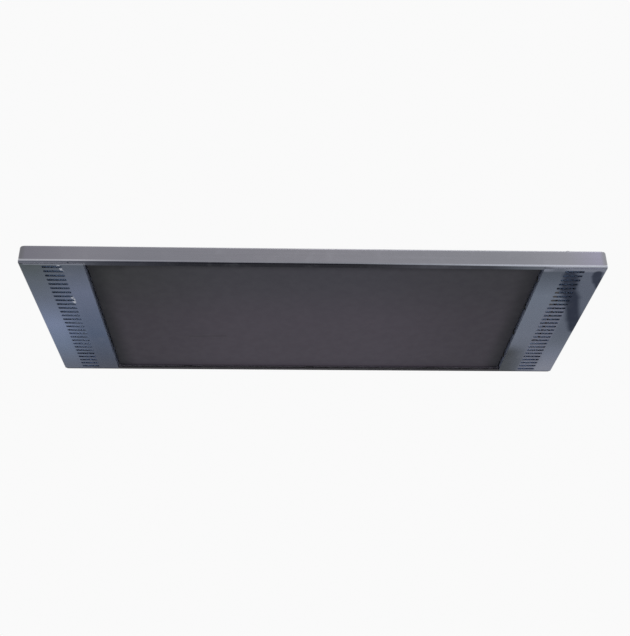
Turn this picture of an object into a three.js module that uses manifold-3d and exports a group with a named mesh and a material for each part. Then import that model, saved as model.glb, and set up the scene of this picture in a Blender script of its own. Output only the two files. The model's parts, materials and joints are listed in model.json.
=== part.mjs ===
import * as THREE from 'three';
import { mergeVertices } from 'three/addons/utils/BufferGeometryUtils.js';
import Module from 'manifold-3d';

// Overhead infrared panel heater, in millimetres. X runs along the casing, -Y is its front
// and +Z is up. The radiant face looks down, and the origin is the middle of the underside.

const wasm = await Module();
wasm.setup();

// ---------- Driving dimensions ----------

// Fits
const FIT = 0.3; // clearance between fitted pieces
const PIN_FIT = 0.3; // clearance round a screw, stud or pin in its hole

// Casing
const CASE_LENGTH = 1000;
const CASE_WIDTH = 410;
const RAIL_HEIGHT = 31;
const CASE_SHEET = 1;
const BEND_INSIDE = 1.6; // inside radius of the casing's folds
const CASE_CORNER = 7; // outside radius of the casing's upright corners
const RAIL_FLANGE = 12;
const DRAIN_HOLE = 3; // in a rail's lower flange
const DRAIN_INSET = [84, 4.4]; // from the rail's end and from its face
const COVER_SHEET = 1;
const COVER_SETBACK = 2.8; // from the casing's edge to the back cover's edge

// End plates
const END_PLATE_WIDTH = 109;
const WALL_CORNER = 4.5; // height below and above which a bulkhead clears the rails' folds
const BULKHEAD_SETBACK = 0.8; // from the end plate's inner edge to the bulkhead
const BULKHEAD_FOOT = 12;
const SLOT_LENGTH = 34;
const SLOT_WIDTH = 6.2;
const SLOT_PITCH = 13.93;
const SLOT_MARGIN = 16.5; // least distance from the casing's edge to the first slot's middle
const SLOT_CORNER = 1.4;

// Radiant plate
const RECESS = 4; // from the rails' underside up to the radiant face
const RADIANT_THICKNESS = 2.5;
const RADIANT_END_GAP = 4;
const RADIANT_LAP = 0.5; // how far the plate reaches over each rail's flange
const STUD_DIAMETER = 4;
const STUD_REACH = 2.5; // stud left standing above its nut

// Heating elements: two hairpins side by side, with their runs shared evenly over the plate
const RUN_COUNT = 4;
const TUBE_DIAMETER = 8;
const BEND_END_GAP = 12; // from a hairpin's bend to the radiant plate's end
const SHEATH_OUTREACH = 14; // sheath beyond the right bulkhead
const BEAD_DIAMETER = 6;
const BEAD_LENGTH = 6;
const PIN_DIAMETER = 4;
const PIN_LENGTH = 12;

// Ceramic bushes round the elements' ends
const BUSH_WALL = 2;
const BUSH_FLANGE = 2.5; // how far the flange stands out beyond the barrel
const BUSH_FLANGE_THICKNESS = 3;

// Cross straps that clamp the elements and carry the radiant plate
const STRAP_SHEET = 1.2;
const STRAP_WIDTH = 16;
const STRAP_BEND_INSIDE = 0.8;
const STRAP_FOOT = 6;
const STRAP_LEG_GAP = 1; // from the radiant plate's edge to the strap's leg
const STRAP_NAMES = ['left', 'middle', 'right'];

// Heat shielding
const REFLECTOR_SHEET = 0.5;
const REFLECTOR_EDGE_GAP = 4; // to the rails' walls

// Wiring
const LUG_SHEET = 1;
const LINK_WIDTH = 10;
const WIRE_DIAMETER = 3;
const WIRE_BEND = 7;
const WIRE_TO_PIN = 5.5; // from a pin's or stud's middle to the end of its wire
const WIRE_RUN_UP = 16; // from a pin's middle to where its wire turns towards it
const WIRE_CLEARANCE = 9; // from the block's back to the middle of the wires behind it
const WIRE_SLOPE = 21; // length over which a wire changes height
const LUG_TONGUE = 9; // from a pin's or stud's middle to the end of its lug's tongue
const BLOCK_LENGTH = 46;
const BLOCK_DEPTH = 30;
const BLOCK_HEIGHT = 20;
const BLOCK_GAP = 2; // from the bulkhead's foot
const SLEEVE_DIAMETER = 6.4;
const SLEEVE_LENGTH = 22;
const SLEEVE_SPACING = 16;
const SLEEVE_HEIGHT = 8; // of the sleeves' middles above the block's base
const SCREW_WELL = 4.6;
const BLOCK_STUD_OFFSET = 8; // between the first and the second sleeve
const CUTOUT_DIAMETER = 17;
const CUTOUT_DEPTH = 10;
const CUTOUT_HOLE = 8.5; // in the bulkhead, behind the cut-out
const CUTOUT_Z = 17;
const CUTOUT_FLANGE_WIDTH = 32;
const CUTOUT_FLANGE_HEIGHT = 9;
const CUTOUT_FLANGE_SHEET = 1;
const TAB_LENGTH = 8;
const TAB_WIDTH = 4.8;
const TAB_SHEET = 0.8;
const TAB_SPACING = 9;
const EARTH_INSET = 25; // from the casing's right end
const EARTH_Y = -30;
const EARTH_STUD_HEIGHT = 9;

// Cable gland on the back cover
const GLAND_INSET = [55, 41]; // from the casing's right end and from its front
const GLAND_THREAD = 16;
const GLAND_BORE = 10;
const GLAND_HEX = 20; // across flats
const GLAND_HEX_HEIGHT = 6;
const GLAND_NECK = 7;
const GLAND_NUT_HEIGHT = 15;
const GLAND_TAIL = 8; // thread below the back cover
const LOCKNUT_HEIGHT = 4.5;
const SEAL_BORE = 8;
const GLAND_MOUTH = 10.5;
const GLAND_LIP = 2; // thickness of the dome nut's end round the mouth
const GLAND_RIM = 1; // width of the flat round the mouth
const GLAND_DOME_RISE = 6.5;

// Suspension rings and their saddles on the back cover
const RING_WIRE = 6;
const RING_INNER_WIDTH = 40;
const RING_REACH = 43; // from the hinge to the outside of the ring's bow
const RING_CORNER = 6; // middle-line radius at the bar's corners
const RING_BUTT_GAP = 0.8; // where the bent wire's ends meet inside the saddle
const RING_INSET = [55, 90]; // from the casing's ends and from its sides
const SADDLE_SHEET = 1.5;
const SADDLE_WIDTH = 22;
const SADDLE_FOOT = 13;
const SADDLE_BEND_INSIDE = 0.8;
const RIVET_HEAD = 7;
const RIVET_RISE = 1.4;

// Cover screws and small nuts
const SCREW_DIAMETER = 4;
const SCREW_HEAD = 8;
const SCREW_HEAD_HEIGHT = 1.4;
const SCREW_HEAD_EDGE = 0.5; // height of the head's straight edge
const SCREW_REACH = 5; // below the sheet that it holds
const SCREW_RECESS = 0.9;
const SCREW_CROSS = 4.4;
const SCREW_CROSS_WIDTH = 1.1;
const SCREW_INSET = 8; // from the casing's side
const SCREW_END_INSET = 100; // from the casing's ends
const NUT_FLATS = 7;
const NUT_HEIGHT = 3;

// How finely round shapes are divided
const BEND_STEPS = 5;
const HUMP_STEPS = 3;
const DOME_STEPS = 3;
const TUBE_SIDES = 8;
const TUBE_BEND_STEPS = 7;
const WIRE_SIDES = 8;
const WIRE_BEND_STEPS = 3;
const RING_SIDES = 8;
const RING_BEND_STEPS = 5;
const ROUND_SIDES = 16;
const HOLE_SIDES = 10;

// ---------- Levels and places worked out from them ----------

const HALF_LENGTH = CASE_LENGTH / 2;
const HALF_WIDTH = CASE_WIDTH / 2;
const BEND_OUTSIDE = BEND_INSIDE + CASE_SHEET;
const RAIL_BOTTOM = CASE_SHEET; // the rails lap over the end plates' margins
const RAIL_TOP = RAIL_BOTTOM + RAIL_HEIGHT;
const FLANGE_TOP = RAIL_BOTTOM + CASE_SHEET;
const COVER_TOP = RAIL_TOP + COVER_SHEET;
const INNER_EDGE = HALF_LENGTH - END_PLATE_WIDTH; // the end plates' inner edges, left and right
const BULKHEAD_HOT = INNER_EDGE + BULKHEAD_SETBACK; // the bulkheads' hot sides
const BULKHEAD_COOL = BULKHEAD_HOT + CASE_SHEET;
const RADIANT_HALF_LENGTH = INNER_EDGE - RADIANT_END_GAP;
const RADIANT_HALF_WIDTH = HALF_WIDTH - RAIL_FLANGE + RADIANT_LAP;
const RADIANT_FACE = RAIL_BOTTOM + RECESS;
const RADIANT_BACK = RADIANT_FACE + RADIANT_THICKNESS;
const STRAP_BOTTOM = RADIANT_BACK + FIT;
const STRAP_TOP = STRAP_BOTTOM + STRAP_SHEET;
const RUN_Z = STRAP_BOTTOM + TUBE_DIAMETER / 2;
const SHEATH_RADIUS = TUBE_DIAMETER / 2 / Math.cos(Math.PI / TUBE_SIDES); // over its edges
const HUMP_INSIDE = SHEATH_RADIUS + FIT;
const HUMP_TOP = RUN_Z + HUMP_INSIDE + STRAP_SHEET;
const BUSH_BORE = 2 * (SHEATH_RADIUS + FIT);
const BUSH_BARREL = BUSH_BORE + 2 * BUSH_WALL;
const REFLECTOR_BOTTOM = HUMP_TOP + FIT;
const BLANKET_BOTTOM = REFLECTOR_BOTTOM + REFLECTOR_SHEET + FIT;
const BLANKET_TOP = RAIL_TOP - FIT;
const RUN_SPACING = (2 * RADIANT_HALF_WIDTH) / RUN_COUNT;
const RUNS = Array.from(
  { length: RUN_COUNT },
  (_, i) => (i - (RUN_COUNT - 1) / 2) * RUN_SPACING,
);
const STRAP_PLACES = [-0.25, 0, 0.25].map((share) => share * CASE_LENGTH);
const SHEATH_END = BULKHEAD_COOL + SHEATH_OUTREACH;
const BEAD_END = SHEATH_END + BEAD_LENGTH;
const LUG_BOTTOM = BEAD_END + FIT; // the lugs' and the link bar's side towards the bead
const NUT_SEAT = LUG_BOTTOM + LUG_SHEET + FIT;
const FLOOR = CASE_SHEET; // inside face of an end plate
const BLOCK_FRONT = BULKHEAD_HOT + BULKHEAD_FOOT + BLOCK_GAP;
const BLOCK_MIDDLE = -RUN_SPACING; // along Y, between the front hairpin's pins
const SLEEVE_Z = FLOOR + SLEEVE_HEIGHT;
const BLOCK_STUD_Y = BLOCK_MIDDLE - BLOCK_STUD_OFFSET;
const BLOCK_STUD_X = BLOCK_FRONT + BLOCK_DEPTH / 2;
const BLOCK_STUD_HEIGHT = BLOCK_HEIGHT + FIT + NUT_HEIGHT + FIT;
const CUTOUT_Y = RUN_SPACING; // between the rear hairpin's pins
const EARTH_X = HALF_LENGTH - EARTH_INSET;
const GLAND_X = HALF_LENGTH - GLAND_INSET[0];
const GLAND_Y = GLAND_INSET[1] - HALF_WIDTH;
const SCREW_X = HALF_LENGTH - SCREW_END_INSET;
const SIDE_SCREWS = [-SCREW_X, 0, SCREW_X];
const RING_AXIS_Z = COVER_TOP + RING_WIRE / 2 + FIT;

// ---------- Finishes ----------

const FINISHES = {
  stainless: { color: 0x85868c, roughness: 0.3, metalness: 1 },
  radiantCoating: { color: 0x464448, roughness: 0.75, metalness: 0.1 },
  galvanised: { color: 0x9a9da0, roughness: 0.5, metalness: 0.9 },
  bluedSteel: { color: 0x3b3d42, roughness: 0.5, metalness: 0.8 },
  elementSheath: { color: 0x4a4d48, roughness: 0.55, metalness: 0.8 },
  ceramic: { color: 0x4a3528, roughness: 0.4, metalness: 0 },
  foil: { color: 0xb9bcc0, roughness: 0.25, metalness: 1 },
  fibre: { color: 0xe9e6dc, roughness: 1, metalness: 0 },
  brass: { color: 0xb8953f, roughness: 0.35, metalness: 1 },
  zincSteel: { color: 0xa3a6a9, roughness: 0.35, metalness: 1 },
  blackNylon: { color: 0x1b1b1d, roughness: 0.55, metalness: 0 },
  rubber: { color: 0x141414, roughness: 0.85, metalness: 0 },
  bakelite: { color: 0x2b2320, roughness: 0.5, metalness: 0 },
  brownSleeve: { color: 0x6a4326, roughness: 0.6, metalness: 0 },
  blueSleeve: { color: 0x2f5d9c, roughness: 0.6, metalness: 0 },
  greenYellowSleeve: { color: 0x7fa32c, roughness: 0.6, metalness: 0 },
};

const heater = new THREE.Group();

function place(name, geometry, finish, parent = heater) {
  const mesh = new THREE.Mesh(geometry, new THREE.MeshStandardMaterial(FINISHES[finish]));
  mesh.name = name;
  parent.add(mesh);
  return mesh;
}

// ---------- Solids, cuts and joins ----------

function toSolid(geometry) {
  const bare = geometry.clone();
  bare.deleteAttribute('normal');
  bare.deleteAttribute('uv');
  const merged = mergeVertices(bare);
  return new wasm.Manifold(new wasm.Mesh({
    numProp: 3,
    vertProperties: Float32Array.from(merged.attributes.position.array),
    triVerts: Uint32Array.from(merged.index.array),
  }));
}

function toGeometry(solid) {
  const { vertProperties, triVerts } = solid.getMesh();
  const geometry = new THREE.BufferGeometry();
  geometry.setAttribute('position', new THREE.BufferAttribute(vertProperties, 3));
  geometry.setIndex(new THREE.BufferAttribute(triVerts, 1));
  geometry.computeVertexNormals();
  return geometry;
}

function shape(base, { joined = [], cut = [] }) {
  let solid = toSolid(base);
  for (const geometry of joined) {
    solid = solid.add(toSolid(geometry));
  }
  for (const geometry of cut) {
    solid = solid.subtract(toSolid(geometry));
  }
  return toGeometry(solid);
}

// ---------- Shape helpers ----------

function box(x0, x1, y0, y1, z0, z1) {
  return new THREE.BoxGeometry(x1 - x0, y1 - y0, z1 - z0)
    .translate((x0 + x1) / 2, (y0 + y1) / 2, (z0 + z1) / 2);
}

// A round bar along Z from height z0 to z1
function rod(diameter, z0, z1, x = 0, y = 0, sides = HOLE_SIDES) {
  return new THREE.CylinderGeometry(diameter / 2, diameter / 2, z1 - z0, sides)
    .rotateX(Math.PI / 2)
    .translate(x, y, (z0 + z1) / 2);
}

// A round bar along X from x0 to x1
function rodAlongX(diameter, x0, x1, y = 0, z = 0, sides = HOLE_SIDES) {
  return new THREE.CylinderGeometry(diameter / 2, diameter / 2, x1 - x0, sides)
    .rotateZ(Math.PI / 2)
    .translate((x0 + x1) / 2, y, z);
}

// A body turned about Z from a closed outline of [radius, height] points
function turned(outline, sides = ROUND_SIDES) {
  const points = outline.map(([radius, height]) => new THREE.Vector2(radius, height));
  return new THREE.LatheGeometry(points, sides).rotateX(Math.PI / 2);
}

function tubeOutline(innerRadius, outerRadius, height) {
  return [
    [innerRadius, 0],
    [outerRadius, 0],
    [outerRadius, height],
    [innerRadius, height],
    [innerRadius, 0],
  ];
}

// Points of a quarter ellipse from [outer, low] up to [inner, high]
function dome(inner, outer, low, high) {
  return Array.from({ length: DOME_STEPS + 1 }, (_, step) => {
    const angle = ((step / DOME_STEPS) * Math.PI) / 2;
    return [inner + (outer - inner) * Math.cos(angle), low + (high - low) * Math.sin(angle)];
  });
}

function polygon(acrossFlats, sides) {
  const radius = acrossFlats / 2 / Math.cos(Math.PI / sides);
  const corner = (step) => (step + 0.5) * ((2 * Math.PI) / sides);
  return Array.from({ length: sides }, (_, step) => new THREE.Vector2(
    radius * Math.cos(corner(step)),
    radius * Math.sin(corner(step)),
  ));
}

// A hexagon with a round bore, standing on the XY plane
function hexRing(acrossFlats, bore, height) {
  const outline = new THREE.Shape(polygon(acrossFlats, 6));
  outline.holes.push(new THREE.Path(polygon(bore, HOLE_SIDES)));
  return new THREE.ExtrudeGeometry(outline, { depth: height, bevelEnabled: false });
}

function nut(thread) {
  return hexRing(NUT_FLATS, thread + 2 * PIN_FIT, NUT_HEIGHT);
}

// Points and directions along a path whose corners [x, y, z, radius] are rounded
function roundedPath(corners, steps) {
  const points = corners.map(([x, y, z]) => new THREE.Vector3(x, y, z));
  const heading = (i) => points[i + 1].clone().sub(points[i]).normalize();
  const last = points.length - 1;
  const stations = [{ at: points[0], along: heading(0) }];
  for (let i = 1; i < last; i += 1) {
    const before = heading(i - 1);
    const after = heading(i);
    const turn = before.angleTo(after);
    const radius = corners[i][3];
    const sideways = after.clone().addScaledVector(before, -before.dot(after)).normalize();
    const start = points[i].clone().addScaledVector(before, -radius * Math.tan(turn / 2));
    for (let step = 0; step <= steps; step += 1) {
      const angle = (turn * step) / steps;
      stations.push({
        at: start.clone()
          .addScaledVector(before, radius * Math.sin(angle))
          .addScaledVector(sideways, radius * (1 - Math.cos(angle))),
        along: before.clone().multiplyScalar(Math.cos(angle))
          .addScaledVector(sideways, Math.sin(angle)),
      });
    }
  }
  stations.push({ at: points[last], along: heading(last - 1) });
  return stations.filter(({ at }, i) => i === 0 || at.distanceTo(stations[i - 1].at) > 1e-4);
}

class Route extends THREE.Curve {
  constructor(stations) {
    super();
    this.stations = stations;
  }

  station(u) {
    return this.stations[Math.round(u * (this.stations.length - 1))];
  }

  getPointAt(u, target = new THREE.Vector3()) {
    return target.copy(this.station(u).at);
  }

  getTangentAt(u, target = new THREE.Vector3()) {
    return target.copy(this.station(u).along);
  }
}

function bentTube(corners, diameter, sides, steps) {
  const stations = roundedPath(corners, steps);
  return new THREE.ExtrudeGeometry(new THREE.Shape(polygon(diameter, sides)), {
    steps: stations.length - 1,
    extrudePath: new Route(stations),
  });
}

// The outline of folded sheet whose middle line runs through corners [u, v, inside radius]
function foldedSheet(corners, sheet, steps) {
  const middle = corners.map(([u, v, inside = 0]) => [u, v, 0, inside + sheet / 2]);
  const stations = roundedPath(middle, steps);
  const offset = ({ at, along }, distance) => new THREE.Vector2(
    at.x - along.y * distance,
    at.y + along.x * distance,
  );
  const left = stations.map((station) => offset(station, sheet / 2));
  const right = stations.map((station) => offset(station, -sheet / 2));
  return new THREE.Shape([...right, ...left.reverse()]);
}

const TO_YZ = new THREE.Matrix4().makeBasis(
  new THREE.Vector3(0, 1, 0),
  new THREE.Vector3(0, 0, 1),
  new THREE.Vector3(1, 0, 0),
);
const TO_XZ = new THREE.Matrix4().makeBasis(
  new THREE.Vector3(1, 0, 0),
  new THREE.Vector3(0, 0, 1),
  new THREE.Vector3(0, -1, 0),
);

// An outline in Y and Z, extruded along X about the middle
function extrudedAlongX(outline, length) {
  return new THREE.ExtrudeGeometry(outline, { depth: length, bevelEnabled: false })
    .translate(0, 0, -length / 2)
    .applyMatrix4(TO_YZ);
}

// An outline in X and Z, extruded along Y about the middle
function extrudedAlongY(outline, length) {
  return new THREE.ExtrudeGeometry(outline, { depth: length, bevelEnabled: false })
    .translate(0, 0, -length / 2)
    .applyMatrix4(TO_XZ);
}

// An oblong with its four corners cut off, standing on the XY plane
function chamferedSheet(length, width, corner, height) {
  const u = length / 2;
  const v = width / 2;
  const outline = new THREE.Shape([
    new THREE.Vector2(u - corner, -v),
    new THREE.Vector2(u, -v + corner),
    new THREE.Vector2(u, v - corner),
    new THREE.Vector2(u - corner, v),
    new THREE.Vector2(-u + corner, v),
    new THREE.Vector2(-u, v - corner),
    new THREE.Vector2(-u, -v + corner),
    new THREE.Vector2(-u + corner, -v),
  ]);
  return new THREE.ExtrudeGeometry(outline, { depth: height, bevelEnabled: false });
}

// ---------- Casing ----------

// Where the back cover's screws go, in the casing's plane
function coverScrewPlaces() {
  const sideY = HALF_WIDTH - SCREW_INSET;
  return [-sideY, sideY].flatMap((y) => SIDE_SCREWS.map((x) => [x, y]));
}

const SCREW_HOLE = SCREW_DIAMETER + 2 * PIN_FIT;

// A rail's section out to reach from its wall, which lies on Y = 0
function railSection(reach) {
  const half = CASE_SHEET / 2;
  return foldedSheet([
    [reach, half],
    [half, half, BEND_INSIDE],
    [half, RAIL_HEIGHT - half, BEND_INSIDE],
    [reach, RAIL_HEIGHT - half],
  ], CASE_SHEET, BEND_STEPS);
}

// A rail's wall and folds carried round an upright corner whose middle is at X = 0, Y = 0
function railCorner() {
  const outline = railSection(CASE_CORNER).getPoints().map(({ x, y }) => [CASE_CORNER - x, y]);
  const skin = outline.length / 2;
  const hollow = turned(outline.slice(0, skin), 4 * BEND_STEPS);
  const drum = turned(outline.slice(skin).reverse(), 4 * BEND_STEPS);
  const beyond = CASE_CORNER + FIT;
  return toSolid(shape(drum, { cut: [hollow] }))
    .intersect(toSolid(box(0, beyond, -beyond, 0, -FIT, RAIL_HEIGHT + FIT)));
}

// A rail's wall lies on Y = 0 and its flanges reach towards +Y
function rail() {
  const cornerX = HALF_LENGTH - CASE_CORNER;
  const flangeEnd = HALF_LENGTH - BEND_OUTSIDE - FIT;
  const corner = toGeometry(railCorner());
  const flanges = [0, RAIL_HEIGHT - CASE_SHEET].map((z) => box(
    -flangeEnd,
    flangeEnd,
    CASE_CORNER,
    RAIL_FLANGE,
    z,
    z + CASE_SHEET,
  ));
  return shape(extrudedAlongX(railSection(RAIL_FLANGE), 2 * cornerX), {
    joined: [
      ...flanges,
      corner.clone().translate(cornerX, CASE_CORNER, 0),
      corner.clone().rotateZ(-Math.PI / 2).translate(-cornerX, CASE_CORNER, 0),
    ],
    cut: [
      rod(
        DRAIN_HOLE,
        -FIT,
        CASE_SHEET + FIT,
        DRAIN_INSET[0] - HALF_LENGTH,
        DRAIN_INSET[1],
      ),
      ...SIDE_SCREWS.map((x) => rod(
        SCREW_HOLE,
        RAIL_HEIGHT / 2,
        RAIL_HEIGHT + FIT,
        x,
        SCREW_INSET,
      )),
    ],
  });
}

const MARGIN = HALF_WIDTH - CASE_CORNER - FIT; // half width of the end plates
const WINDOW = HALF_WIDTH - RAIL_FLANGE - FIT; // half width between the rails' flanges
const THROAT = HALF_WIDTH - CASE_SHEET - FIT; // half width between the rails' walls

// An end plate's outer wall lies on X = 0 and its floor reaches to X = END_PLATE_WIDTH
function endPlate(studs = []) {
  const half = CASE_SHEET / 2;
  const section = foldedSheet([
    [RAIL_FLANGE, RAIL_TOP - half],
    [half, RAIL_TOP - half, BEND_INSIDE],
    [half, half, BEND_INSIDE],
    [END_PLATE_WIDTH, half],
  ], CASE_SHEET, BEND_STEPS);
  const slots = [];
  const slotGaps = Math.floor((2 * (HALF_WIDTH - SLOT_MARGIN)) / SLOT_PITCH);
  for (let i = 0; i <= slotGaps; i += 1) {
    slots.push(chamferedSheet(SLOT_LENGTH, SLOT_WIDTH, SLOT_CORNER, 2 * CASE_SHEET)
      .translate(END_PLATE_WIDTH / 2, (i - slotGaps / 2) * SLOT_PITCH, -half));
  }
  const topCorner = (y0, y1) => box(
    -FIT,
    RAIL_FLANGE + FIT,
    y0,
    y1,
    RAIL_TOP - BEND_OUTSIDE,
    RAIL_TOP + FIT,
  );
  return shape(extrudedAlongY(section, 2 * MARGIN), {
    joined: studs,
    cut: [
      topCorner(WINDOW, MARGIN + FIT),
      topCorner(-MARGIN - FIT, -WINDOW),
      ...slots,
    ],
  });
}

// The right end plate has welded studs for the terminal block and the earth wire.
// Its own frame is turned half round, so X and Y are counted backwards.
function rightEndPlate() {
  const stud = (x, y, height) => rod(
    STUD_DIAMETER,
    FLOOR / 2,
    FLOOR + height,
    HALF_LENGTH - x,
    -y,
  );
  return endPlate([
    stud(BLOCK_STUD_X, BLOCK_STUD_Y, BLOCK_STUD_HEIGHT),
    stud(EARTH_X, EARTH_Y, EARTH_STUD_HEIGHT),
  ]);
}

// A bulkhead closes an end's wiring space; its foot lies towards the casing's end at X = 0.
// Between the rails' folds it reaches right up to their walls.
function bulkhead(holes = []) {
  const half = CASE_SHEET / 2;
  const wall = HALF_LENGTH - BULKHEAD_HOT - half;
  const wings = box(
    wall - half,
    wall + half,
    -THROAT,
    THROAT,
    WALL_CORNER,
    RAIL_TOP + CASE_SHEET - WALL_CORNER,
  );
  const section = foldedSheet([
    [wall + half - BULKHEAD_FOOT, FLOOR + half],
    [wall, FLOOR + half, BEND_INSIDE],
    [wall, RAIL_TOP - FIT],
  ], CASE_SHEET, BEND_STEPS);
  return shape(extrudedAlongY(section, 2 * WINDOW), {
    joined: [wings],
    cut: holes,
  });
}

// The right bulkhead is pierced for the elements' bushes and the cut-out
function rightBulkhead() {
  const wall = HALF_LENGTH - BULKHEAD_HOT;
  const hole = (diameter, y, z) => rodAlongX(
    diameter,
    wall - 2 * CASE_SHEET,
    wall + CASE_SHEET,
    -y,
    z,
    ROUND_SIDES,
  );
  return bulkhead([
    ...RUNS.map((y) => hole(BUSH_BARREL + 2 * FIT, y, RUN_Z)),
    hole(CUTOUT_HOLE, CUTOUT_Y, CUTOUT_Z),
  ]);
}

function backCover() {
  const sheet = chamferedSheet(
    CASE_LENGTH - 2 * COVER_SETBACK,
    CASE_WIDTH - 2 * COVER_SETBACK,
    CASE_CORNER - COVER_SETBACK,
    COVER_SHEET,
  );
  const hole = (diameter, x, y, sides) => rod(
    diameter,
    RAIL_TOP - FIT,
    COVER_TOP + FIT,
    x,
    y,
    sides,
  );
  return shape(sheet.translate(0, 0, RAIL_TOP), {
    cut: [
      ...coverScrewPlaces().map(([x, y]) => hole(SCREW_HOLE, x, y, HOLE_SIDES)),
      hole(GLAND_THREAD + 2 * FIT, GLAND_X, GLAND_Y, ROUND_SIDES),
    ],
  });
}

function addCasing() {
  place('front_rail', rail(), 'stainless').position.set(0, -HALF_WIDTH, RAIL_BOTTOM);
  const rear = place('rear_rail', rail(), 'stainless');
  rear.position.set(0, HALF_WIDTH, RAIL_BOTTOM);
  rear.rotation.z = Math.PI;
  const left = new THREE.Group();
  left.position.x = -HALF_LENGTH;
  const right = new THREE.Group();
  right.position.x = HALF_LENGTH;
  right.rotation.z = Math.PI;
  heater.add(left, right);
  place('left_end_plate', endPlate(), 'stainless', left);
  place('right_end_plate', rightEndPlate(), 'stainless', right);
  place('left_bulkhead', bulkhead(), 'galvanised', left);
  place('right_bulkhead', rightBulkhead(), 'galvanised', right);
  place('back_cover', backCover(), 'stainless');
}

// A pan head screw whose head rests on Z = 0 and whose shank reaches down
function coverScrew() {
  const shank = SCREW_DIAMETER / 2;
  const foot = -COVER_SHEET - CASE_SHEET - SCREW_REACH;
  const body = turned([
    [0, foot],
    [shank, foot],
    [shank, 0],
    [SCREW_HEAD / 2, 0],
    ...dome(0, SCREW_HEAD / 2, SCREW_HEAD_EDGE, SCREW_HEAD_HEIGHT),
  ], HOLE_SIDES);
  const arm = SCREW_CROSS / 2;
  const blade = SCREW_CROSS_WIDTH / 2;
  const floor = SCREW_HEAD_HEIGHT - SCREW_RECESS;
  const above = SCREW_HEAD_HEIGHT + FIT;
  return shape(body, {
    cut: [
      box(-arm, arm, -blade, blade, floor, above),
      box(-blade, blade, -arm, arm, floor, above),
    ],
  });
}

function addCoverScrews() {
  coverScrewPlaces().forEach(([x, y], i) => {
    place(`cover_screw_${i + 1}`, coverScrew(), 'zincSteel')
      .position.set(x, y, COVER_TOP);
  });
}

// ---------- Radiant plate, elements and the straps that hold them ----------

function strapStudPlaces() {
  return STRAP_PLACES.flatMap((x) => [[x, -RUN_SPACING], [x, RUN_SPACING]]);
}

function addRadiantPlate() {
  const sheet = box(
    -RADIANT_HALF_LENGTH,
    RADIANT_HALF_LENGTH,
    -RADIANT_HALF_WIDTH,
    RADIANT_HALF_WIDTH,
    RADIANT_FACE,
    RADIANT_BACK,
  );
  const studTop = STRAP_TOP + FIT + NUT_HEIGHT + STUD_REACH;
  const studs = strapStudPlaces().map(([x, y]) => rod(
    STUD_DIAMETER,
    RADIANT_BACK - RADIANT_THICKNESS / 2,
    studTop,
    x,
    y,
  ));
  place('radiant_plate', shape(sheet, { joined: studs }), 'radiantCoating');
  strapStudPlaces().forEach(([x, y], i) => {
    place(`strap_nut_${i + 1}`, nut(STUD_DIAMETER), 'zincSteel')
      .position.set(x, y, STRAP_TOP + FIT);
  });
}

// A hairpin's runs lie at Y = -RUN_SPACING / 2 and +RUN_SPACING / 2
function hairpin() {
  const run = RUN_SPACING / 2;
  const bow = -RADIANT_HALF_LENGTH + BEND_END_GAP + TUBE_DIAMETER / 2;
  const tube = bentTube([
    [SHEATH_END, -run, 0],
    [bow, -run, 0, run],
    [bow, run, 0, run],
    [SHEATH_END, run, 0],
  ], TUBE_DIAMETER, TUBE_SIDES, TUBE_BEND_STEPS);
  const terminal = (y) => turned([
    [0, -BEAD_LENGTH],
    [BEAD_DIAMETER / 2, -BEAD_LENGTH],
    [BEAD_DIAMETER / 2, BEAD_LENGTH],
    [PIN_DIAMETER / 2, BEAD_LENGTH],
    [PIN_DIAMETER / 2, BEAD_LENGTH + PIN_LENGTH],
    [0, BEAD_LENGTH + PIN_LENGTH],
  ], HOLE_SIDES).rotateY(Math.PI / 2).translate(SHEATH_END, y, 0);
  return shape(tube, { joined: [terminal(-run), terminal(run)] });
}

// A bush's flange rests on Z = 0 and its barrel reaches down through the bulkhead
function bush() {
  const bore = BUSH_BORE / 2;
  const barrel = BUSH_BARREL / 2;
  const depth = CASE_SHEET + FIT;
  return turned([
    [bore, -depth],
    [barrel, -depth],
    [barrel, 0],
    [barrel + BUSH_FLANGE, 0],
    [barrel + BUSH_FLANGE, BUSH_FLANGE_THICKNESS],
    [bore, BUSH_FLANGE_THICKNESS],
    [bore, -depth],
  ]);
}

function addElements() {
  place('front_heating_element', hairpin(), 'elementSheath')
    .position.set(0, -RUN_SPACING, RUN_Z);
  place('rear_heating_element', hairpin(), 'elementSheath')
    .position.set(0, RUN_SPACING, RUN_Z);
  RUNS.forEach((y, i) => {
    const collar = place(`element_bush_${i + 1}`, bush(), 'ceramic');
    collar.position.set(BULKHEAD_COOL + FIT, y, RUN_Z);
    collar.rotation.y = Math.PI / 2;
  });
}

function crossStrap() {
  const half = STRAP_SHEET / 2;
  const flat = STRAP_BOTTOM + half;
  const legY = RADIANT_HALF_WIDTH + STRAP_LEG_GAP + half;
  const footEnd = legY - half + STRAP_FOOT;
  const footZ = FLANGE_TOP + half;
  const humpTop = HUMP_TOP - half;
  const humpHalf = HUMP_INSIDE + half;
  const hump = (y) => [
    [y - humpHalf, flat, 0],
    [y - humpHalf, humpTop, HUMP_INSIDE],
    [y + humpHalf, humpTop, HUMP_INSIDE],
    [y + humpHalf, flat, 0],
  ];
  const section = foldedSheet([
    [-footEnd, footZ],
    [-legY, footZ, STRAP_BEND_INSIDE],
    [-legY, flat, STRAP_BEND_INSIDE],
    ...RUNS.flatMap(hump),
    [legY, flat, STRAP_BEND_INSIDE],
    [legY, footZ, STRAP_BEND_INSIDE],
    [footEnd, footZ],
  ], STRAP_SHEET, HUMP_STEPS);
  const holes = [-RUN_SPACING, RUN_SPACING].map((y) => rod(
    STUD_DIAMETER + 2 * PIN_FIT,
    RADIANT_BACK,
    HUMP_TOP,
    0,
    y,
  ));
  return shape(extrudedAlongX(section, STRAP_WIDTH), { cut: holes });
}

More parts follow.
